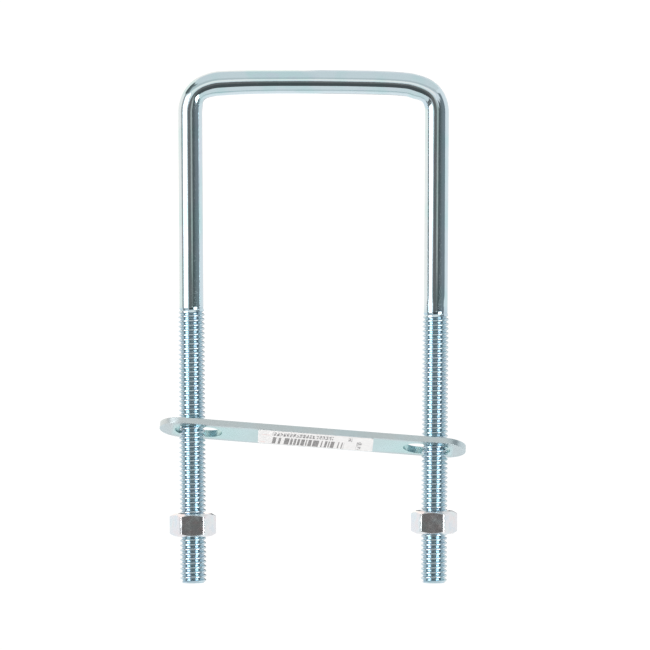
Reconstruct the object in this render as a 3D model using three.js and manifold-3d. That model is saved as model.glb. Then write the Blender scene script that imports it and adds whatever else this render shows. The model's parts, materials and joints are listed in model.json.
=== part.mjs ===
// A square-bend U-bolt: one bent rod threaded on both legs, a slotted strap plate that hangs canted
// on the threads, a hexagon nut on each leg and a paper label stuck under the strap.
// Millimetres, +Z up. The origin is the middle of the crossbar's inside, the legs point down,
// X runs across the legs and Y through the opening.
import * as THREE from "three";
import { mergeVertices } from "three/addons/utils/BufferGeometryUtils.js";
import Module from "manifold-3d";

// Rod
const INSIDE_WIDTH = 67.5; // between the legs, just under the bends
const INSIDE_LENGTH = 148.3; // from the crossbar's inside to the leg ends
const THREAD_D = 7.9375; // over the crests: 5/16 in
const SHANK_STEP = 0.66; // how much thinner the plain rod is than the thread rolled on it
const BEND_INSIDE_R = 5.7;
const TOE_IN = 0.39; // degrees that each leg leans inwards

// Legs: side along X, how long the thread is, how far up the nut sits and how far it is turned
const LEGS = [
  { name: "left", side: -1, threadLength: 83.9, nutUp: 17.6, nutTurn: 0 },
  { name: "right", side: 1, threadLength: 82.4, nutUp: 18.4, nutTurn: -6.5 },
];

// Nuts
const NUT_ACROSS_FLATS = 12.5;
const NUT_HEIGHT = 6.9;
const NUT_FACE_SHARE = 0.94; // flat ring on each end, as a share of the width across flats
const NUT_CHAMFER = 30; // degrees between the chamfer and the end face
const NUT_CLEARANCE = 0.3; // between the bore and the thread's crests, all round
const COUNTERSINK = 0.45;

// Strap
const STRAP_THICKNESS = 1.8;
const STRAP_SIDE_WALL = 2.28; // between a slot and the strap's long side
const STRAP_END_WALL = 4.6; // between a slot and the strap's end
const SLOT_PLAY = 6.56; // how much longer a slot is than the thread is wide
const SLOT_CLEARANCE = 0.3; // between a canted slot's sides and the thread
const SLOT_END_CLEARANCE = 0.85; // between a slot's outer end and the legs where they are widest apart
const STRAP_ABOVE_NUTS = 22.2; // from the higher nut's top to the strap's middle
const STRAP_SHIFT = -0.2; // along X
const STRAP_TILT = -20; // degrees about X: the front edge is the high one
const STRAP_ROLL = 4.45; // degrees about Y: the left end is the high one

// Label, stuck under the strap
const LABEL_LENGTH = 34.9;
const LABEL_MARGIN = 0.7; // between its long sides and the strap's
const LABEL_THICKNESS = 0.15;
const LABEL_SHIFT = 0.9; // along the strap
const LABEL_GAP = 0.3;
const LABEL_CORNER_R = 0.8;

// Finer points of the shapes
const RUNOUT = 1.2; // the thread fades into the shank over this
const END_CHAMFER = 0.7;
const SIDES = 32; // of anything round
const BEND_STEPS = 10;
const OVERSHOOT = 1; // what a cutter runs past what it cuts
const CORE_RUN = 8; // how far the plain rod runs down inside the thread

const rad = THREE.MathUtils.degToRad;
const threadR = THREAD_D / 2;
const shankR = (THREAD_D - SHANK_STEP) / 2;
const bendR = BEND_INSIDE_R + shankR;
const toe = rad(TOE_IN);
const bendAngle = Math.PI / 2 + toe;
const barZ = shankR; // the crossbar's centreline
const legX = INSIDE_WIDTH / 2 + shankR; // a leg's centreline where its bend ends
const bendX = legX - bendR * Math.cos(toe);
const bendZ = barZ - bendR;
const tilt = rad(STRAP_TILT);
const cantedWidth = THREAD_D + 2 * SLOT_CLEARANCE + STRAP_THICKNESS * Math.abs(Math.sin(tilt));
const slotWidth = cantedWidth / Math.cos(tilt);
const slotLength = THREAD_D + SLOT_PLAY;
const slotEnd = legX + shankR + SLOT_END_CLEARANCE; // from the strap's middle
const strapWidth = slotWidth + 2 * STRAP_SIDE_WALL;
const strapLength = 2 * (slotEnd + STRAP_END_WALL);
const strapUp = Math.max(...LEGS.map((leg) => leg.nutUp)) + NUT_HEIGHT / 2 + STRAP_ABOVE_NUTS;

const wasm = await Module();
wasm.setup();

const toSolid = (geometry) => {
  const bare = geometry.clone();
  bare.deleteAttribute("normal");
  bare.deleteAttribute("uv");
  const merged = mergeVertices(bare, 1e-4);
  return new wasm.Manifold(new wasm.Mesh({
    numProp: 3,
    vertProperties: merged.attributes.position.array,
    triVerts: new Uint32Array(merged.index.array),
  }));
};

const toGeometry = (solid) => {
  const { vertProperties, triVerts } = solid.getMesh();
  const geometry = new THREE.BufferGeometry();
  geometry.setAttribute("position", new THREE.BufferAttribute(vertProperties, 3));
  geometry.setIndex(new THREE.BufferAttribute(triVerts, 1));
  geometry.computeVertexNormals();
  return geometry;
};

// A solid of revolution about Z from [radius, height] points, from the axis up to the axis again.
const turned = (points) => {
  const profile = points.map(([r, z]) => new THREE.Vector2(r, z));
  return new THREE.LatheGeometry(profile, SIDES).rotateX(Math.PI / 2);
};

// A bar with round ends along X, as a closed outline for a shape or a hole.
const roundEnded = (path, length, width, x = 0) => {
  const r = width / 2;
  const reach = length / 2 - r;
  path.absarc(x + reach, 0, r, -Math.PI / 2, Math.PI / 2);
  path.absarc(x - reach, 0, r, Math.PI / 2, (3 * Math.PI) / 2);
  path.closePath();
  return path;
};

// Where a leg's bend ends and its straight begins.
const legTop = (side) => new THREE.Vector3(
  side * (bendX + bendR * Math.cos(toe)), 0, bendZ - bendR * Math.sin(toe),
);
const legUp = (side) => new THREE.Vector3(side * Math.sin(toe), 0, Math.cos(toe));
const legLength = (legTop(1).z + INSIDE_LENGTH) / Math.cos(toe);

// A group at a leg's lower end with +Z running up the leg.
const legGroup = ({ name, side }) => {
  const group = new THREE.Group();
  group.name = `${name}_leg`;
  group.position.copy(legTop(side)).addScaledVector(legUp(side), -legLength);
  group.rotation.y = side * toe;
  group.updateMatrix();
  return group;
};

// The rod's centreline from inside the left thread to inside the right one.
// Its steps fall at the ends of the straights and along the bends, and not along the straights.
class RodLine extends THREE.Curve {
  constructor() {
    super();
    this.stops = [];
    for (const { side, threadLength } of LEGS) {
      const straight = legLength - threadLength + CORE_RUN;
      const half = [{
        point: legTop(side).addScaledVector(legUp(side), -straight),
        heading: legUp(side).multiplyScalar(-side),
      }];
      for (let i = BEND_STEPS; i >= 0; i--) {
        const a = (bendAngle * i) / BEND_STEPS;
        half.push({
          point: new THREE.Vector3(
            side * (bendX + bendR * Math.sin(a)), 0, bendZ + bendR * Math.cos(a),
          ),
          heading: new THREE.Vector3(Math.cos(a), 0, -side * Math.sin(a)),
        });
      }
      this.stops.push(...(side < 0 ? half : half.reverse()));
    }
  }
  stop(u) {
    return this.stops[Math.round(u * (this.stops.length - 1))];
  }
  getPointAt(u, target = new THREE.Vector3()) {
    return target.copy(this.stop(u).point);
  }
  getTangentAt(u, target = new THREE.Vector3()) {
    return target.copy(this.stop(u).heading);
  }
}

const plainRod = () => {
  const line = new RodLine();
  const section = new THREE.Shape().absarc(0, 0, shankR, 0, 2 * Math.PI);
  return new THREE.ExtrudeGeometry(section, {
    extrudePath: line,
    steps: line.stops.length - 1,
    curveSegments: SIDES / 2,
  });
};

// A leg's thread as its outer cylinder, chamfered at the end and fading into the shank.
const threadedEnd = ({ threadLength }) => turned([
  [0, 0],
  [threadR - END_CHAMFER, 0],
  [threadR, END_CHAMFER],
  [threadR, threadLength - RUNOUT],
  [2 * shankR - threadR, threadLength],
  [0, threadLength],
]);

const bentRod = () => {
  let rod = toSolid(plainRod());
  for (const leg of LEGS) {
    rod = rod.add(toSolid(threadedEnd(leg).applyMatrix4(legGroup(leg).matrix)));
  }
  return toGeometry(rod);
};

const nut = () => {
  const cornerR = NUT_ACROSS_FLATS / Math.sqrt(3);
  const faceR = (NUT_ACROSS_FLATS * NUT_FACE_SHARE) / 2;
  const boreR = threadR + NUT_CLEARANCE;
  const half = NUT_HEIGHT / 2;
  const wideR = cornerR + OVERSHOOT;
  const drop = (wideR - faceR) * Math.tan(rad(NUT_CHAMFER));
  const hexagon = new THREE.CylinderGeometry(cornerR, cornerR, NUT_HEIGHT + OVERSHOOT, 6)
    .rotateY(Math.PI / 6).rotateX(Math.PI / 2);
  const chamfers = turned([
    [0, -half], [faceR, -half], [wideR, -half + drop],
    [wideR, half - drop], [faceR, half], [0, half],
  ]);
  const bore = turned([
    [0, -half - OVERSHOOT],
    [boreR + COUNTERSINK + OVERSHOOT, -half - OVERSHOOT],
    [boreR, -half + COUNTERSINK],
    [boreR, half - COUNTERSINK],
    [boreR + COUNTERSINK + OVERSHOOT, half + OVERSHOOT],
    [0, half + OVERSHOOT],
  ]);
  return toGeometry(toSolid(hexagon).intersect(toSolid(chamfers)).subtract(toSolid(bore)));
};

const strapPlate = () => {
  const outline = roundEnded(new THREE.Shape(), strapLength, strapWidth);
  const slotX = slotEnd - slotLength / 2;
  for (const { side } of LEGS) {
    outline.holes.push(roundEnded(new THREE.Path(), slotLength, slotWidth, side * slotX));
  }
  return new THREE.ExtrudeGeometry(outline, {
    depth: STRAP_THICKNESS,
    bevelEnabled: false,
    curveSegments: SIDES / 2,
  }).translate(0, 0, -STRAP_THICKNESS / 2);
};

const label = () => {
  const x = LABEL_LENGTH / 2;
  const y = strapWidth / 2 - LABEL_MARGIN;
  const r = LABEL_CORNER_R;
  const outline = new THREE.Shape()
    .absarc(x - r, y - r, r, 0, Math.PI / 2)
    .absarc(r - x, y - r, r, Math.PI / 2, Math.PI)
    .absarc(r - x, r - y, r, Math.PI, (3 * Math.PI) / 2)
    .absarc(x - r, r - y, r, (3 * Math.PI) / 2, 2 * Math.PI);
  return new THREE.ExtrudeGeometry(outline, {
    depth: LABEL_THICKNESS,
    bevelEnabled: false,
    curveSegments: 2,
  });
};

const finish = (color, roughness, metalness) =>
  new THREE.MeshStandardMaterial({ color, roughness, metalness });
const rodZinc = finish(0xb4c6cc, 0.22, 1);
const nutZinc = finish(0xc9d0d3, 0.28, 1);
const strapZinc = finish(0xb9d3d6, 0.35, 1);
const paper = finish(0xf4f5f3, 0.75, 0);

const named = (name, geometry, material) => {
  const mesh = new THREE.Mesh(geometry, material);
  mesh.name = name;
  return mesh;
};

const uBolt = new THREE.Group();
uBolt.name = "u_bolt";
uBolt.add(named("bent_rod", bentRod(), rodZinc));

for (const leg of LEGS) {
  const group = legGroup(leg);
  const mesh = named(`${leg.name}_nut`, nut(), nutZinc);
  mesh.position.z = leg.nutUp;
  mesh.rotation.z = rad(leg.nutTurn);
  group.add(mesh);
  uBolt.add(group);
}

const strap = new THREE.Group();
strap.name = "strap";
strap.position.set(STRAP_SHIFT, 0, strapUp - INSIDE_LENGTH);
strap.rotation.set(tilt, rad(STRAP_ROLL), 0, "YXZ");
strap.add(named("strap_plate", strapPlate(), strapZinc));
const sticker = named("barcode_label", label(), paper);
sticker.position.set(LABEL_SHIFT, 0, -STRAP_THICKNESS / 2 - LABEL_GAP - LABEL_THICKNESS);
strap.add(sticker);
uBolt.add(strap);

export default uBolt;
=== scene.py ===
import json
import math
import bpy
import bmesh
import numpy as np
from mathutils import Matrix, Vector

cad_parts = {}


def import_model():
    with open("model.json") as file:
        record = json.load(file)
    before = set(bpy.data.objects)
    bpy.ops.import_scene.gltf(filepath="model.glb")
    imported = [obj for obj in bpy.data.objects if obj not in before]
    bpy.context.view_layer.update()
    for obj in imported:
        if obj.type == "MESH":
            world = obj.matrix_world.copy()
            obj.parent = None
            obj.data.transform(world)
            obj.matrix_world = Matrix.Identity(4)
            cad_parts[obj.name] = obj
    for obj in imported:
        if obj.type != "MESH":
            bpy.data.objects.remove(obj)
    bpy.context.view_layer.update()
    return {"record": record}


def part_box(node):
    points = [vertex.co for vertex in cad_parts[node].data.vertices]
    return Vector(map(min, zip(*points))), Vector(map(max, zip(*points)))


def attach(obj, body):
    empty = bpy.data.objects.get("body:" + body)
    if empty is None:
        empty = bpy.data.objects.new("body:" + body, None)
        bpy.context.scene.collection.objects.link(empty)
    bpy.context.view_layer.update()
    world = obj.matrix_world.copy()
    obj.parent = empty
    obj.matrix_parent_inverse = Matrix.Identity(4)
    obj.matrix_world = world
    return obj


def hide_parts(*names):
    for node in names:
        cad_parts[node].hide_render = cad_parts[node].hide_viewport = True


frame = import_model()
mounts = {mount["name"]: mount for mount in frame["record"]["mounts"]}
mm = 0.001


def mountPlace(name):
    return Vector(mounts[name]["pos_m"]) / mm


def mountAxis(name):
    return Vector(mounts[name]["axis"]).normalized()


def nodeCentre(node):
    low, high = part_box(node)
    return (Vector(low) + Vector(high)) / (2 * mm)


def uprightPlace(centre, up):
    # a place whose +Z runs along up, whose Y stays level with the world's, in millimetres
    across = Vector((up.z, 0, -up.x)).normalized()
    along = up.cross(across)
    turn = Matrix((across, along, up)).transposed().to_4x4()
    return Matrix.Translation(centre) @ turn


def clearSelection():
    if bpy.context.object and bpy.context.object.mode != "OBJECT":
        bpy.ops.object.mode_set(mode="OBJECT")
    bpy.ops.object.select_all(action="DESELECT")


def pick(piece):
    clearSelection()
    piece.select_set(True)
    bpy.context.view_layer.objects.active = piece


def startEdit(piece, mode="VERT"):
    pick(piece)
    bpy.ops.object.mode_set(mode="EDIT")
    bpy.ops.mesh.select_mode(type=mode)
    bpy.ops.mesh.select_all(action="DESELECT")


def selectWhere(piece, kind, wanted):
    # kind is verts, edges or faces; wanted says yes to an element
    shape = bmesh.from_edit_mesh(piece.data)
    for element in getattr(shape, kind):
        if wanted(element):
            element.select_set(True)
    shape.select_flush_mode()
    bmesh.update_edit_mesh(piece.data)


def endEdit():
    bpy.ops.object.mode_set(mode="OBJECT")


def useModifier(piece, kind, **settings):
    pick(piece)
    step = piece.modifiers.new(kind.lower(), kind)
    for key, value in settings.items():
        setattr(step, key, value)
    bpy.ops.object.modifier_apply(modifier=step.name)


def cut(piece, tool, way="DIFFERENCE"):
    useModifier(piece, "BOOLEAN", object=tool, operation=way, solver="EXACT")
    bpy.data.objects.remove(tool)


def place(piece, matrix):
    # moves the mesh itself, so that the object stays at the origin
    piece.data.transform(matrix)
    piece.data.update()


def readPoints(piece):
    points = np.empty(len(piece.data.vertices) * 3)
    piece.data.vertices.foreach_get("co", points)
    return points.reshape(-1, 3)


def writePoints(piece, points):
    piece.data.vertices.foreach_set("co", points.ravel())
    piece.data.update()


def finishPiece(piece, name, body, slot, *nodes, smooth=32, flatFaces=True):
    place(piece, Matrix.Scale(mm, 4))
    pick(piece)
    bpy.ops.object.shade_smooth_by_angle(angle=math.radians(smooth))
    if flatFaces:
        useModifier(piece, "WEIGHTED_NORMAL", keep_sharp=True, weight=100)
    piece.name = piece.data.name = name
    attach(piece, body)
    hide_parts(*nodes)
    return piece


threadSizes = {
    "wide": 7.9375,  # over the crests
    "pitch": 25.4 / 18,
    "deep": 0.52,  # of the pitch, blunter than a standard thread
    "steps": 48,
    # one turn's outline, with true 60 degree flanks between a rounded root and a softened crest:
    # share of the pitch up the leg, share of the depth out from the root
    "outline": [(0.0, 0.0142), (0.095, 0.0142), (0.159, 0.13), (0.168, 0.16), (0.3902, 0.9), (0.4022, 0.94),
                (0.432, 1.0), (0.668, 1.0), (0.6978, 0.94), (0.7098, 0.9), (0.932, 0.16), (0.941, 0.13),
                (1.0, 0.0142)],
}


def threadSurface(low, high, grow=0.0):
    # an open right-hand thread about Z that runs past both heights
    t = threadSizes
    crest = t["wide"] / 2 + grow
    root = crest - t["deep"] * t["pitch"]
    firstTurn = math.floor(low / t["pitch"]) - 2
    turns = math.ceil(high / t["pitch"]) + 2 - firstTurn
    clearSelection()
    bpy.ops.mesh.primitive_plane_add(size=1)
    thread = bpy.context.object
    startEdit(thread)
    bpy.ops.mesh.select_all(action="SELECT")
    bpy.ops.mesh.merge(type="CENTER")
    points = [(root + share * (crest - root), (firstTurn + up) * t["pitch"]) for up, share in t["outline"]]
    bpy.ops.transform.translate(value=(points[0][0], 0, points[0][1]))
    for (r0, z0), (r1, z1) in zip(points, points[1:]):
        bpy.ops.mesh.extrude_region_move(TRANSFORM_OT_translate={"value": (r1 - r0, 0, z1 - z0)})
    endEdit()
    useModifier(thread, "SCREW", angle=2 * math.pi, screw_offset=t["pitch"], iterations=turns,
                steps=t["steps"], render_steps=t["steps"], axis="Z", use_normal_calculate=True)
    startEdit(thread)
    bpy.ops.mesh.select_all(action="SELECT")
    bpy.ops.mesh.remove_doubles(threshold=0.002)
    bpy.ops.mesh.normals_make_consistent(inside=False)
    endEdit()
    return thread


def limitRadius(piece, least, most):
    # pulls each point between two radii that depend on its height
    points = readPoints(piece)
    radius = np.hypot(points[:, 0], points[:, 1])
    wanted = np.minimum(np.maximum(radius, least(points[:, 2])), most(points[:, 2]))
    points[:, :2] *= (wanted / radius)[:, None]
    writePoints(piece, points)


def trim(piece, height, keepAbove, fill):
    startEdit(piece)
    bpy.ops.mesh.select_all(action="SELECT")
    bpy.ops.mesh.bisect(plane_co=(0, 0, height), plane_no=(0, 0, 1), use_fill=fill,
                        clear_inner=keepAbove, clear_outer=not keepAbove, threshold=1e-5)
    endEdit()


rodSizes = {
    "step": 0.66,  # how much thinner the plain rod is than its thread
    "bendInside": 5.7,
    "bendSteps": 40,
    "barSteps": 36,
    "threadLong": {"left": 83.9, "right": 82.4},
    "runout": 2.6,  # the thread fades over this
    "chamfer": 0.75,
    "join": 1.5,  # plain rod made with each thread
    "tintFade": (84.5, 82.0),  # heights up the leg that the thread's tint fades between
}
crestR = threadSizes["wide"] / 2
rootR = crestR - threadSizes["deep"] * threadSizes["pitch"]
shankR = crestR - rodSizes["step"] / 2
sides = {"left": -1, "right": 1}
legEnd = {leg: mountPlace(leg + "_leg_end") for leg in sides}
legUp = {leg: -mountAxis(leg + "_leg_end") for leg in sides}
toe = math.atan2(legUp["right"].x, legUp["right"].z)
bendR = rodSizes["bendInside"] + shankR
bendZ = shankR - bendR
bendAngle = math.pi / 2 + toe
straight = (bendZ - bendR * math.sin(toe) - legEnd["right"].z) / legUp["right"].z
bendX = legEnd["right"].x + legUp["right"].x * straight - bendR * math.cos(toe)


def threadedLeg(leg):
    top = rodSizes["threadLong"][leg]
    run = rodSizes["runout"]
    thread = threadSurface(0, top + rodSizes["join"])

    def fade(z):
        share = np.clip((z - (top - run)) / run, 0, 1)
        return share * share * (3 - 2 * share)

    limitRadius(
        thread,
        lambda z: rootR + (shankR - rootR) * fade(z),
        lambda z: np.minimum(crestR + (shankR - crestR) * fade(z),
                             crestR - rodSizes["chamfer"] + np.maximum(z, 0)),
    )
    trim(thread, 0, keepAbove=True, fill=True)
    trim(thread, top + rodSizes["join"], keepAbove=False, fill=False)
    place(thread, uprightPlace(legEnd[leg], legUp[leg]))
    return thread


def pushEdge(offset):
    bpy.ops.mesh.extrude_region_move(TRANSFORM_OT_translate={"value": tuple(offset)})


def bendEdge(side):
    bpy.ops.mesh.spin(steps=rodSizes["bendSteps"], angle=-bendAngle, center=(side * bendX, 0, bendZ),
                      axis=(0, 1, 0))


def bentRod():
    rod = threadedLeg("left")
    other = threadedLeg("right")
    made = {leg: rodSizes["threadLong"][leg] + rodSizes["join"] for leg in sides}
    lastPush = straight - made["right"] - 2 * rodSizes["join"]
    startEdit(rod)
    selectWhere(rod, "edges", lambda e: e.is_boundary)
    pushEdge(legUp["left"] * (straight - made["left"]))
    bendEdge(-1)
    for _ in range(rodSizes["barSteps"]):
        pushEdge((2 * bendX / rodSizes["barSteps"], 0, 0))
    bendEdge(1)
    pushEdge(-legUp["right"] * lastPush)
    endEdit()
    clearSelection()
    other.select_set(True)
    rod.select_set(True)
    bpy.context.view_layer.objects.active = rod
    bpy.ops.object.join()
    startEdit(rod)
    selectWhere(rod, "edges", lambda e: e.is_boundary)
    bpy.ops.mesh.bridge_edge_loops()
    bpy.ops.mesh.select_all(action="SELECT")
    bpy.ops.mesh.normals_make_consistent(inside=False)
    endEdit()
    asMade(rod)
    return rod


def laidStraight(points):
    # places on the same rod laid straight (how far out, how far along), and which way is out
    x, z = points[:, 0], points[:, 2]
    side, x = np.where(x < 0, -1, 1), np.abs(x) - bendX
    z = z - bendZ
    angle = np.arctan2(np.maximum(x, 0), z)
    legX, legZ = bendR * math.cos(toe), -bendR * math.sin(toe)
    down = -(x - legX) * math.sin(toe) - (z - legZ) * math.cos(toe)
    outLeg = (x - legX) * math.cos(toe) - (z - legZ) * math.sin(toe)
    onBar, onLeg = x <= 0, (angle >= bendAngle) & (x > 0)
    out = np.where(onBar, z - bendR, np.where(onLeg, outLeg, np.hypot(x, z) - bendR))
    turn = np.where(onBar, 0, np.minimum(angle, bendAngle))
    along = np.where(onBar, bendX + x, bendX + bendR * turn + np.where(onLeg, down, 0))
    return out, along * side, np.stack([np.sin(turn) * side, np.zeros_like(x), np.cos(turn)], axis=1)


# the bends and the crossbar are not quite true: measured offsets outwards of each edge of the rod,
# by the place along it from the middle of the crossbar, in millimetres
rodStrays = {
    "along": [-44, -41, -39.3, -37.6, -36, -34.6, -33, -31.4, -29.7, -28.1, -25, -20, -12, 0, 10, 18, 24, 27,
              29, 31, 33, 34.6, 36, 38, 41, 44],
    "inside": [0, -0.14, 0.04, 0.7, 0.3, -0.05, -0.53, -0.7, -0.84, -0.88, -0.6, -0.36, -0.2, -0.2,
               -0.26, -0.44, -0.62, -0.88, -1.12, -1.25, -1.2, -0.86, -0.3, 0.15, -0.1, 0],
    "outside": [0, -0.08, -0.08, -0.11, -0.14, -0.26, -0.5, -0.66, -0.63, -0.57, -0.42, -0.34, -0.33,
                -0.31, -0.45, -0.56, -0.82, -1.02, -1.27, -1.32, -0.98, -0.68, -0.42, -0.16, -0.08, 0],
    "smooth": 1.1,  # how far the steps between them are blurred
}


def asMade(rod):
    points = readPoints(rod)
    out, along, outward = laidStraight(points)
    store = rod.data.attributes.new("rodSpace", "FLOAT_VECTOR", "POINT")
    store.data.foreach_set("vector", np.stack([points[:, 1], out, along], axis=1).ravel())
    step, reach = 0.1, 4
    fine = np.arange(-60, 60, step)
    kernel = np.exp(-(np.arange(-reach, reach + 0.01, step) / rodStrays["smooth"]) ** 2 / 2)

    def strays(edge):
        steps = np.interp(fine, rodStrays["along"], rodStrays[edge])
        return np.interp(along, fine, np.convolve(steps, kernel / kernel.sum(), mode="same"))

    inside, outside = strays("inside"), strays("outside")
    share = np.clip(out / shankR, -1, 1) / 2 + 0.5
    points += outward * (inside * (1 - share) + outside * share)[:, None]
    writePoints(rod, points)


nutSizes = {
    "acrossFlats": 12.5,
    "high": 6.9,
    "faceShare": 0.9,
    "chamfer": 30,  # degrees
    "countersink": 4.45,  # radius at the face
    "sinkSlope": 0.6,  # how deep the countersink goes for its width
    "minorR": 3.38,
    "play": 0.06,  # between the nut's thread and the rod's
    "edge": 0.3,
    "corner": 0.55,
    "turned": {"left": 0.0, "right": -6.5},
}


def coneAbout(low, high, lowR, highR, sidesRound=96):
    bpy.ops.mesh.primitive_cone_add(vertices=sidesRound, radius1=lowR, radius2=highR, depth=high - low,
                                    location=(0, 0, (low + high) / 2))
    bpy.ops.object.transform_apply()
    return bpy.context.object


def nutBlank(leg):
    n = nutSizes
    half, cornerR = n["high"] / 2, n["acrossFlats"] / math.sqrt(3)
    faceR, wideR = n["acrossFlats"] * n["faceShare"] / 2, cornerR + 1
    slope = math.tan(math.radians(n["chamfer"]))
    drop = (wideR - faceR) * slope
    clearSelection()
    bpy.ops.mesh.primitive_cylinder_add(vertices=6, radius=cornerR, depth=n["high"])
    nut = bpy.context.object
    startEdit(nut, "EDGE")
    selectWhere(nut, "edges", lambda e: abs(e.verts[0].co.z - e.verts[1].co.z) > half)
    bpy.ops.mesh.bevel(offset=n["corner"], segments=6, profile=0.5)
    endEdit()
    # the two chamfers are one turned shape: a face, a slope out, a band, a slope in
    clearSelection()
    shape = coneAbout(-half, -half + drop, faceR, wideR)
    startEdit(shape)
    for height, radius in ((half - drop, wideR), (half, faceR)):
        bpy.ops.mesh.select_all(action="DESELECT")
        highest = max(v.co.z for v in bmesh.from_edit_mesh(shape.data).verts)
        selectWhere(shape, "verts", lambda v: v.co.z > highest - 1e-4)
        bpy.ops.mesh.extrude_region_move(TRANSFORM_OT_translate={"value": (0, 0, height - highest)})
        bpy.ops.transform.resize(value=(radius / wideR, radius / wideR, 1))
    endEdit()
    cut(nut, shape, "INTERSECT")
    startEdit(nut, "EDGE")
    limit = math.radians(24)
    selectWhere(nut, "edges", lambda e: e.is_manifold and e.calc_face_angle(0) > limit
                and abs(e.verts[0].co.z - e.verts[1].co.z) < half * 0.8)
    bpy.ops.mesh.bevel(offset=n["edge"], segments=3, profile=0.5, clamp_overlap=True)
    endEdit()
    place(nut, Matrix.Rotation(math.radians(30 + n["turned"][leg]), 4, "Z"))
    return nut


def hexNut(leg):
    n = nutSizes
    half = n["high"] / 2
    nut = nutBlank(leg)
    centre = nodeCentre(leg + "_nut")
    up = (centre - legEnd[leg]).dot(legUp[leg])
    place(nut, Matrix.Translation((0, 0, up)))
    low, high = up - half, up + half
    tap = threadSurface(low, high, grow=n["play"])
    limitRadius(tap, lambda z: np.full_like(z, n["minorR"]), lambda z: np.full_like(z, np.inf))
    trim(tap, low - 1, keepAbove=True, fill=True)
    trim(tap, high + 1, keepAbove=False, fill=True)
    cut(nut, tap)
    deep = (n["countersink"] - n["minorR"]) * n["sinkSlope"]
    wideSink = n["countersink"] + 1 / n["sinkSlope"]
    clearSelection()
    cut(nut, coneAbout(low - 1, low + deep, wideSink, n["minorR"], 64))
    clearSelection()
    cut(nut, coneAbout(high - deep, high + 1, n["minorR"], wideSink, 64))
    startEdit(nut)
    bpy.ops.mesh.select_all(action="SELECT")
    bpy.ops.mesh.remove_doubles(threshold=0.004)
    bpy.ops.mesh.dissolve_degenerate(threshold=0.002)
    bpy.ops.mesh.select_all(action="SELECT")
    bpy.ops.mesh.normals_make_consistent(inside=False)
    endEdit()
    place(nut, uprightPlace(legEnd[leg], legUp[leg]))
    return nut


strapSizes = {
    "thick": 1.8,
    "wide": 14.3,
    "slotWide": 9.44,
    "slotLong": 14.3,
    "endWall": 4.7,
    "rim": 1.1,  # a raised border this wide round each slot
    "rimHigh": 0.35,
    "edge": 0.45,
    "roundSteps": 48,
}
strapUp = mountAxis("strap_face")
strapCentre = mountPlace("strap_face") - strapUp * strapSizes["thick"] / 2
strapAcross = Vector((strapUp.z, 0, -strapUp.x)).normalized()
strapPlace = uprightPlace(strapCentre, strapUp)
lowCorner, highCorner = (Vector(c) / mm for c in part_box("strap_plate"))
strapLong = (highCorner.x - lowCorner.x - strapSizes["thick"] * abs(strapUp.x)) / strapAcross.x


def roundEnded(long, wide, thick, x=0.0):
    # a thick bar with round ends: a disc parted in the middle
    clearSelection()
    bpy.ops.mesh.primitive_cylinder_add(vertices=strapSizes["roundSteps"] * 2, radius=wide / 2, depth=thick)
    bar = bpy.context.object
    startEdit(bar)
    bpy.ops.mesh.select_all(action="SELECT")
    bpy.ops.mesh.bisect(plane_co=(0, 0, 0), plane_no=(1, 0, 0), threshold=1e-4)
    for side in (-1, 1):
        bpy.ops.mesh.select_all(action="DESELECT")
        selectWhere(bar, "verts", lambda v: v.co.x * side > 1e-3)
        bpy.ops.transform.translate(value=(side * (long - wide) / 2, 0, 0))
    bpy.ops.mesh.select_all(action="DESELECT")
    endEdit()
    place(bar, Matrix.Translation((x, 0, 0)))
    return bar


def strapPlate():
    s = strapSizes
    plate = roundEnded(strapLong, s["wide"], s["thick"])
    slotX = strapLong / 2 - s["endWall"] - s["slotLong"] / 2
    for side in (-1, 1):
        rim = roundEnded(s["slotLong"] + 2 * s["rim"], s["slotWide"] + 2 * s["rim"], s["thick"],
                         side * slotX)
        place(rim, Matrix.Translation((0, 0, s["rimHigh"])))
        cut(plate, rim, "UNION")
    for side in (-1, 1):
        cut(plate, roundEnded(s["slotLong"], s["slotWide"], s["thick"] * 3, side * slotX))
    useModifier(plate, "BEVEL", width=s["edge"], segments=4, limit_method="ANGLE",
                angle_limit=math.radians(40), profile=0.5)
    x, y, _ = readPoints(plate).T
    inFromEdge = s["wide"] / 2 - np.hypot(np.maximum(np.abs(x) - (strapLong - s["wide"]) / 2, 0), y)
    # 1 on the edge wall, and nothing from 0.42 mm inside it
    sheared = plate.data.attributes.new("sheared", "FLOAT", "POINT")
    sheared.data.foreach_set("value", np.clip(1.4 - inFromEdge / 0.3, 0, 1))
    place(plate, strapPlace)
    return plate


labelSizes = {"long": 34.9, "wide": 12.9, "thick": 0.1, "shift": 0.9, "off": 0.015, "corner": 0.8}


def labelSheet():
    s = labelSizes
    clearSelection()
    bpy.ops.mesh.primitive_grid_add(x_subdivisions=70, y_subdivisions=26, size=1)
    sheet = bpy.context.object
    place(sheet, Matrix.Diagonal((s["long"], s["wide"], 1, 1)))
    # rounded corners
    points = readPoints(sheet)
    x, y = points[:, 0], points[:, 1]
    ox = np.maximum(np.abs(x) - (s["long"] / 2 - s["corner"]), 0)
    oy = np.maximum(np.abs(y) - (s["wide"] / 2 - s["corner"]), 0)
    reach = np.hypot(ox, oy)
    pull = np.where(reach > s["corner"], s["corner"] / np.maximum(reach, 1e-9), 1)
    points[:, 0] -= np.sign(x) * ox * (1 - pull)
    points[:, 1] -= np.sign(y) * oy * (1 - pull)
    writePoints(sheet, points)
    useModifier(sheet, "SOLIDIFY", thickness=s["thick"], offset=0)
    under = -strapSizes["thick"] / 2 - s["off"] - s["thick"] / 2
    place(sheet, Matrix.Translation((s["shift"], 0, under)))
    place(sheet, strapPlace)
    return sheet


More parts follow.
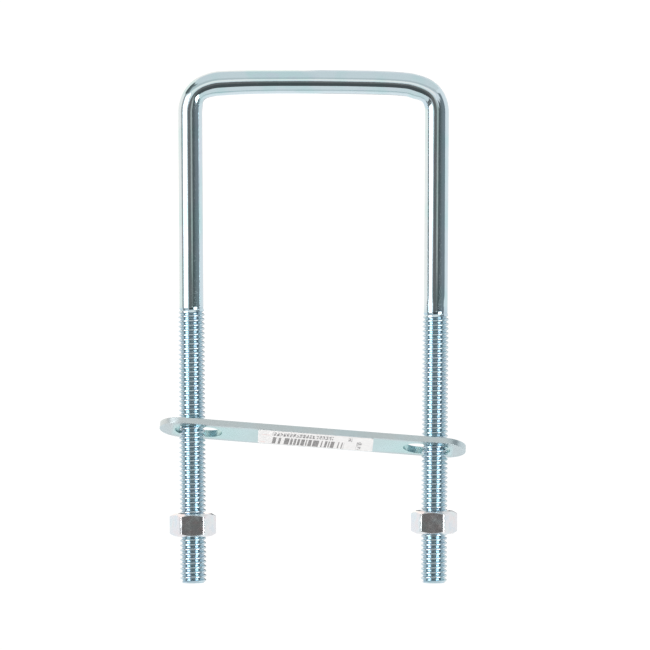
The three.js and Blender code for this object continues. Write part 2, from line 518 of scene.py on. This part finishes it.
class Value:
    # a socket that takes arithmetic
    def __init__(self, finish, socket):
        self.finish, self.socket = finish, socket

    def maths(self, operation, *others):
        return self.finish.add("ShaderNodeMath", {"operation": operation}, self, *others)

    def __add__(self, other): return self.maths("ADD", other)
    def __radd__(self, other): return self.maths("ADD", other)
    def __sub__(self, other): return self.maths("SUBTRACT", other)
    def __mul__(self, other): return self.maths("MULTIPLY", other)
    def __truediv__(self, other): return self.maths("DIVIDE", other)
    def __pow__(self, other): return self.maths("POWER", other)
    def __gt__(self, other): return self.maths("GREATER_THAN", other)
    def __lt__(self, other): return self.maths("LESS_THAN", other)
    def floor(self): return self.maths("FLOOR")
    def fract(self): return self.maths("FRACT")
    def size(self): return self.maths("ABSOLUTE")
    def between(self, low, high): return (self > low) * (self < high)

    def ramp(self, low, high, toLow=0.0, toHigh=1.0):
        return self.finish.add("ShaderNodeMapRange", {"interpolation_type": "SMOOTHSTEP"},
                               self, low, high, toLow, toHigh)


class Finish:
    def __init__(self, name):
        self.material = bpy.data.materials.new(name)
        self.material.use_nodes = True
        self.tree = self.material.node_tree
        self.tree.nodes.clear()
        self.output = self.tree.nodes.new("ShaderNodeOutputMaterial")

    def add(self, kind, settings=None, *values, out=0, **named):
        node = self.tree.nodes.new(kind)
        for key, value in (settings or {}).items():
            setattr(node, key, value)
        live = [s for s in node.inputs if s.enabled]
        pairs = list(zip(live, values))
        for key, value in named.items():
            pairs.append((next(s for s in live if s.name == key.replace("_", " ")), value))
        for socket, value in pairs:
            if isinstance(value, Value):
                self.tree.links.new(value.socket, socket)
            elif value is not None:
                socket.default_value = value
        return Value(self, [s for s in node.outputs if s.enabled][out])

    def mix(self, share, a, b):
        return self.add("ShaderNodeMix", {"data_type": "RGBA"}, share, a, b)

    def noise(self, where, scale, detail=3.0, rough=0.5):
        return self.add("ShaderNodeTexNoise", {}, where, Scale=scale, Detail=detail, Roughness=rough)

    def stretched(self, where, scale):
        return self.add("ShaderNodeMapping", {"vector_type": "POINT"}, where, Scale=scale)

    def parts(self, where):
        return [self.add("ShaderNodeSeparateXYZ", {}, where, out=i) for i in range(3)]

    def bump(self, height, strength, distance):
        return self.add("ShaderNodeBump", {}, Strength=strength, Distance=distance, Height=height)

    def close(self, **inputs):
        shader = self.add("ShaderNodeBsdfPrincipled", {}, **inputs)
        self.tree.links.new(shader.socket, self.output.inputs["Surface"])
        return self.material


def rgb(r, g, b):
    return (r, g, b, 1.0)


zincTints = {
    "blue": rgb(0.47, 0.62, 0.69),
    "clear": rgb(0.62, 0.70, 0.74),
    "teal": rgb(0.46, 0.66, 0.68),
    "violet": rgb(0.56, 0.58, 0.70),
    # painted shade colour for the roots of the thread
    "threadRootShade": rgb(0.30, 0.44, 0.52),
    # painted highlight colour for the crests of the thread
    "threadCrestHighlight": rgb(0.67, 0.72, 0.74),
}
nutTints = {
    "grey": rgb(0.73, 0.735, 0.76),
    "green": rgb(0.70, 0.755, 0.765),
    "rose": rgb(0.76, 0.70, 0.71),
    "blue": rgb(0.64, 0.71, 0.76),
}
strapTints = {
    "teal": (rgb(0.43, 0.635, 0.645), rgb(0.49, 0.665, 0.70)),
    "sheared": (rgb(0.50, 0.56, 0.58), rgb(0.49, 0.58, 0.61)),
}


def platingTint(f, where, blueness, size):
    # blue zinc drifts between clear, teal and a trace of violet over a few millimetres
    drift = f.noise(where, 1 / size, 2.0)
    film = f.noise(f.stretched(where, (1.3, 1.3, 0.7)), 1.7 / size, 3.0)
    tint = f.mix(blueness, zincTints["clear"], zincTints["blue"])
    tint = f.mix(drift.ramp(0.45, 0.65) * 0.55, tint, zincTints["teal"])
    return f.mix(film.ramp(0.55, 0.72) * 0.35, tint, zincTints["violet"])


def rodZinc():
    f = Finish("rod_zinc")
    where = f.add("ShaderNodeAttribute", {"attribute_name": "rodSpace"}, out=1)
    across, out, along = f.parts(where)
    radius = (across * across + out * out) ** 0.5
    legTip = bendX + bendR * bendAngle + straight
    threaded = along.size().ramp(*(legTip - height for height in rodSizes["tintFade"]))
    tint = platingTint(f, where, 0.35 + threaded * 0.45, 9.0)
    bloom = f.noise(where, 0.11, 2.0).ramp(0.44, 0.6) * threaded
    tint = f.mix(bloom * 0.3, tint, zincTints["violet"])
    # painted shade: the thread is darkened towards a slate colour down in its roots, standing in for the
    # shadow between the turns
    deep = radius.ramp(rootR + 0.1, crestR - 0.15, 1.0, 0.0) * threaded
    tint = f.mix(deep * 0.35, tint, zincTints["threadRootShade"])
    # painted highlight: the crests of the thread are lightened towards a pale, less blue tint, standing in
    # for the highlight along them
    wearAndCrestSheen = radius.ramp(crestR - 0.2, crestR - 0.04) * threaded
    tint = f.mix(wearAndCrestSheen * 0.3, tint, zincTints["threadCrestHighlight"])
    drawn = f.noise(f.stretched(where, (5.0, 5.0, 0.09)), 1.0, 3.0)
    grain = f.noise(where, 3.5, 4.0)
    fine = f.noise(where, 14.0, 2.0)
    rough = 0.05 + drawn * 0.05 + grain.ramp(0.4, 0.75) * 0.05
    bump = f.bump(drawn * 0.6 + grain * 0.5 + fine * 0.15, 0.06, 0.00005)
    return f.close(Base_Color=tint, Metallic=1.0, Roughness=rough, Normal=bump)


def nutZinc():
    f = Finish("nut_zinc")
    where = f.add("ShaderNodeTexCoord", {}, out=3)
    drift = f.noise(where, 210.0, 3.0, 0.6)
    film = f.noise(where, 330.0, 3.0, 0.6)
    tint = f.mix(drift.ramp(0.42, 0.60), nutTints["grey"], nutTints["green"])
    tint = f.mix(film.ramp(0.50, 0.64) * 0.8, tint, nutTints["rose"])
    tint = f.mix(film.ramp(0.36, 0.46, 1.0, 0.0) * 0.7, tint, nutTints["blue"])
    patches = f.noise(where, 420.0, 4.0)
    scratch = f.noise(f.stretched(where, (300.0, 300.0, 3600.0)), 1.0, 2.0)
    grain = f.noise(where, 2400.0, 3.0)
    rough = 0.13 + patches.ramp(0.4, 0.7) * 0.10 + scratch * 0.05
    bump = f.bump(patches * 0.6 + scratch * 0.3 + grain * 0.12, 0.08, 0.0001)
    return f.close(Base_Color=tint, Metallic=1.0, Roughness=rough, Normal=bump)


def strapZinc():
    # tealer on its two flat faces than on the sheared edge
    f = Finish("strap_zinc")
    where = f.add("ShaderNodeTexCoord", {}, out=3)
    sheared = f.add("ShaderNodeAttribute", {"attribute_name": "sheared"}, out=2)
    drift = f.noise(f.stretched(where, (70.0, 45.0, 45.0)), 1.0, 3.0)
    teal = f.mix(drift.ramp(0.38, 0.66), *strapTints["teal"])
    tint = f.mix(sheared, teal, f.mix(drift.ramp(0.4, 0.6), *strapTints["sheared"]))
    waves = f.noise(where, 110.0, 2.0)
    rolled = f.noise(f.stretched(where, (60.0, 1500.0, 1500.0)), 1.0, 3.0)
    grain = f.noise(where, 2600.0, 3.0)
    rough = 0.17 + waves * 0.1 + grain * 0.08 + sheared * 0.1
    bump = f.bump(waves * 0.9 + rolled * 0.22 + grain * 0.15, 0.2, 0.00012)
    return f.close(Base_Color=tint, Metallic=1.0, Roughness=rough, Normal=bump)


labelPrint = {
    "cell": 0.36,  # the narrowest bar, in millimetres
    "barsFrom": 4.2, "barsTo": 26.7, "barsTop": 0.47, "barsFoot": 0.955,
    "marksFrom": 4.6, "marksTo": 28.8, "marksTop": 0.11, "marksFoot": 0.37,
    "sideFrom": 30.4, "sideTo": 31.9,
    "slant": 0.07,
    "paper": (rgb(0.66, 0.65, 0.645), rgb(0.62, 0.61, 0.605)),
    "barInk": rgb(0.055, 0.05, 0.05), "markInk": rgb(0.06, 0.055, 0.06),
    "sideInk": rgb(0.09, 0.085, 0.09), "faintInk": rgb(0.62, 0.38, 0.36),
}


def labelPaper():
    # plain bars and rows of small blocks that read as print from a distance
    f = Finish("label_paper")
    n = labelPrint
    u, v, _ = f.parts(f.add("ShaderNodeUVMap", {}))
    down = v * labelSizes["wide"]
    along = u * labelSizes["long"] + down * n["slant"]

    def chance(a, b=0.0):
        spot = f.add("ShaderNodeCombineXYZ", {}, a, b, 0.0)
        return f.add("ShaderNodeTexWhiteNoise", {"noise_dimensions": "3D"}, spot)

    bars = (chance((along / n["cell"]).floor(), 7.0) > 0.42) * along.between(n["barsFrom"], n["barsTo"])
    bars = bars * v.between(n["barsTop"], n["barsFoot"])
    word = chance((along / 2.3).floor(), 11.0) > 0.26
    block = (along / 0.98).fract().between(0.12, 0.86)
    speck = chance((along / 0.33).floor(), (down / 0.55).floor()) > 0.3
    marks = block * speck * word * along.between(n["marksFrom"], n["marksTo"])
    marks = marks * v.between(n["marksTop"], n["marksFoot"])
    side = chance((along / 0.5).floor(), (down / 0.5).floor()) > 0.35
    side = side * along.between(n["sideFrom"], n["sideTo"])
    side = side * (v.between(0.36, 0.62) + v.between(0.70, 0.94))
    faint = along.between(1.5, 3.9) * v.between(0.30, 0.35)
    faint = faint + along.between(1.6, 2.9) * v.between(0.84, 0.91)
    where = f.add("ShaderNodeTexCoord", {}, out=3)
    fibre = f.noise(where, 1300.0, 4.0)
    wearAndCrestSheen = f.noise(where, 2600.0, 2.0).ramp(0.25, 0.6, 0.62, 1.0)
    paper = f.mix(fibre.ramp(0.35, 0.7), *n["paper"])
    ink = f.mix(bars * 0.92 * wearAndCrestSheen, paper, n["barInk"])
    ink = f.mix(marks * 0.95 * wearAndCrestSheen, ink, n["markInk"])
    ink = f.mix(side * 0.75 * wearAndCrestSheen, ink, n["sideInk"])
    ink = f.mix(faint * 0.5, ink, n["faintInk"])
    rough = 0.52 + fibre * 0.12 - (bars + marks) * 0.12
    bump = f.bump(fibre, 0.12, 0.00003)
    return f.close(Base_Color=ink, Roughness=rough, Normal=bump, Coat_Weight=0.12, Coat_Roughness=0.3)


def coat(piece, material):
    piece.data.materials.clear()
    piece.data.materials.append(material)


rod = finishPiece(bentRod(), "bentRodThreaded", "rod", "rod_zinc", "bent_rod", smooth=50, flatFaces=False)
coat(rod, rodZinc())
print("rod", len(rod.data.polygons))
nutFinish = nutZinc()
for leg in sides:
    nut = finishPiece(hexNut(leg), leg + "NutTapped", leg + "_nut", "nut_zinc", leg + "_nut", smooth=28)
    coat(nut, nutFinish)
    print("nut", leg, len(nut.data.polygons))
strap = finishPiece(strapPlate(), "strapPlatePunched", "strap", "strap_zinc", "strap_plate")
coat(strap, strapZinc())
print("strap", len(strap.data.polygons))
label = finishPiece(labelSheet(), "labelSticker", "strap", "label_paper", "barcode_label")
coat(label, labelPaper())
print("label", len(label.data.polygons))

studio = {
    "aim": (3.5, 0, -70.2),
    "wide": 196.8,  # what the frame takes in at the bolt
    "distance": 1600,
    "up": 1.0,  # degrees above level
    "room": 1.05,
    "floorDrop": 700,
    "cardDistance": 900,
    "softboxDistance": 1300,
}


def glow(name, colour):
    f = Finish(name)
    shader = f.add("ShaderNodeEmission", {}, colour, 1.0)
    f.tree.links.new(shader.socket, f.output.inputs["Surface"])
    return f.material


def mirrorOnly(sheet, name, colour):
    # a card that shows in the plating and nowhere else
    sheet.name = sheet.data.name = name
    coat(sheet, glow(name, colour))
    sheet.visible_camera = sheet.visible_diffuse = sheet.visible_shadow = False


def facing(azimuth, height, distance):
    # a spot round the bolt: azimuth 0 is the front, and positive is to the right
    a = math.radians(azimuth)
    return Vector((math.sin(a) * distance, -math.cos(a) * distance, height)) * mm


def card(name, left, right, low, high, colour):
    # an upright card that spans these angles round the bolt and these heights, curved round it
    clearSelection()
    bpy.ops.mesh.primitive_grid_add(x_subdivisions=12, y_subdivisions=1, size=1)
    sheet = bpy.context.object
    for v in sheet.data.vertices:
        angle = left + (v.co.x + 0.5) * (right - left)
        v.co = facing(angle, low + (v.co.y + 0.5) * (high - low), studio["cardDistance"])
    mirrorOnly(sheet, name, colour)


def levelCard(name, spot, size, colour):
    clearSelection()
    bpy.ops.mesh.primitive_plane_add(size=1, location=Vector(spot) * mm)
    sheet = bpy.context.object
    sheet.scale = (size[0] * mm, size[1] * mm, 1)
    mirrorOnly(sheet, name, colour)


def softbox(name, azimuth, height, wide, tall, radiance):
    # upright, and turned to the bolt
    clearSelection()
    spot = facing(azimuth, height, studio["softboxDistance"])
    bpy.ops.object.light_add(type="AREA", location=spot)
    lamp = bpy.context.object
    lamp.name = lamp.data.name = name
    lamp.data.shape = "RECTANGLE"
    lamp.data.size, lamp.data.size_y = wide * mm, tall * mm
    lamp.data.energy = radiance * math.pi * wide * tall * mm * mm
    lamp.visible_camera = False
    aim = Vector((0, 0, height * mm)) - spot
    lamp.rotation_euler = aim.to_track_quat("-Z", "Y").to_euler()


def world():
    scene = bpy.context.scene
    scene.world = bpy.data.worlds.new("white room")
    scene.world.use_nodes = True
    tree = scene.world.node_tree
    tree.nodes.clear()
    room = tree.nodes.new("ShaderNodeBackground")
    out = tree.nodes.new("ShaderNodeOutputWorld")
    room.inputs["Color"].default_value = rgb(1, 1, 1)
    room.inputs["Strength"].default_value = studio["room"]
    tree.links.new(room.outputs[0], out.inputs["Surface"])


def floor():
    clearSelection()
    level = (legEnd["left"].z - studio["floorDrop"]) * mm
    bpy.ops.mesh.primitive_plane_add(size=12, location=(0, 0, level))
    sheet = bpy.context.object
    sheet.name = sheet.data.name = "floor"
    coat(sheet, Finish("floor").close(Base_Color=rgb(0.92, 0.92, 0.92), Roughness=0.9))


def camera():
    aim = Vector(studio["aim"]) * mm
    rise = math.radians(studio["up"])
    away = studio["distance"] * mm
    bpy.ops.object.camera_add(location=aim + Vector((0, -math.cos(rise), math.sin(rise))) * away)
    eye = bpy.context.object
    eye.rotation_euler = (aim - eye.location).to_track_quat("-Z", "Y").to_euler()
    eye.data.sensor_width = 36
    eye.data.lens = 36 * studio["distance"] / studio["wide"]
    eye.data.clip_end = 50
    bpy.context.scene.camera = eye


world()
floor()
camera()
# name, left and right angle, low and high edge, colour: what the plating mirrors, in front first
cards = [
    ("cardFrontLeft", -25, 3, -200, 85, rgb(0.20, 0.19, 0.185)),
    ("cardFrontLow", -25, 27, -790, -200, rgb(0.10, 0.105, 0.105)),
    ("cardGapLight", 3, 18, -62, 85, rgb(0.58, 0.59, 0.55)),
    ("cardGapDark", 3, 18, -200, -62, rgb(0.18, 0.18, 0.18)),
    ("cardDark", 18, 27, -200, 60, rgb(0.095, 0.11, 0.11)),
    ("cardDarkRight", 27, 44, -140, 160, rgb(0.14, 0.155, 0.16)),
    ("cardMiddle", 44, 58, -140, 260, rgb(0.22, 0.245, 0.255)),
    ("cardRight", 58, 87, -500, 560, rgb(0.26, 0.29, 0.31)),
    ("cardBrightLine", -32, 30, 245, 385, rgb(1.36, 1.24, 1.12)),
    ("cardGreyLine", -60, 60, 470, 800, rgb(0.72, 0.74, 0.73)),
    ("cardUnderSoftbox", -80, -28, -420, -150, rgb(0.2, 0.2, 0.2)),
    ("cardOverSoftbox", -82, -48, 440, 1050, rgb(0.22, 0.23, 0.23)),
    ("cardLine", -92, -79, -640, 440, rgb(0.38, 0.36, 0.35)),
    ("cardWarm", -180, -92, -95, 440, rgb(1.32, 1.2, 1.12)),
    ("cardWarmHigh", -180, -106, 440, 1200, rgb(1.32, 1.2, 1.12)),
    ("cardStreak", -106, -82, 440, 1200, rgb(0.13, 0.145, 0.145)),
    ("cardPale", -180, -92, -640, -95, rgb(1.05, 1.08, 1.10)),
    ("cardBack", 165, 180, -300, 300, rgb(0.2, 0.21, 0.22)),
]
for row in cards:
    card(*row)
levelCard("cardCeiling", (0, 0, 1300), (3000, 3000), rgb(0.90, 0.92, 0.91))
levelCard("cardFloorFront", (0, -430, -842), (3000, 1400), rgb(0.97, 0.98, 0.97))
softbox("softboxLeft", -51, 128, 680, 690, 6.2)
softbox("softboxRightLow", 43, -460, 700, 560, 5.8)
bpy.context.scene.view_settings.view_transform = "Standard"
print("studio", len(cards), "cards")
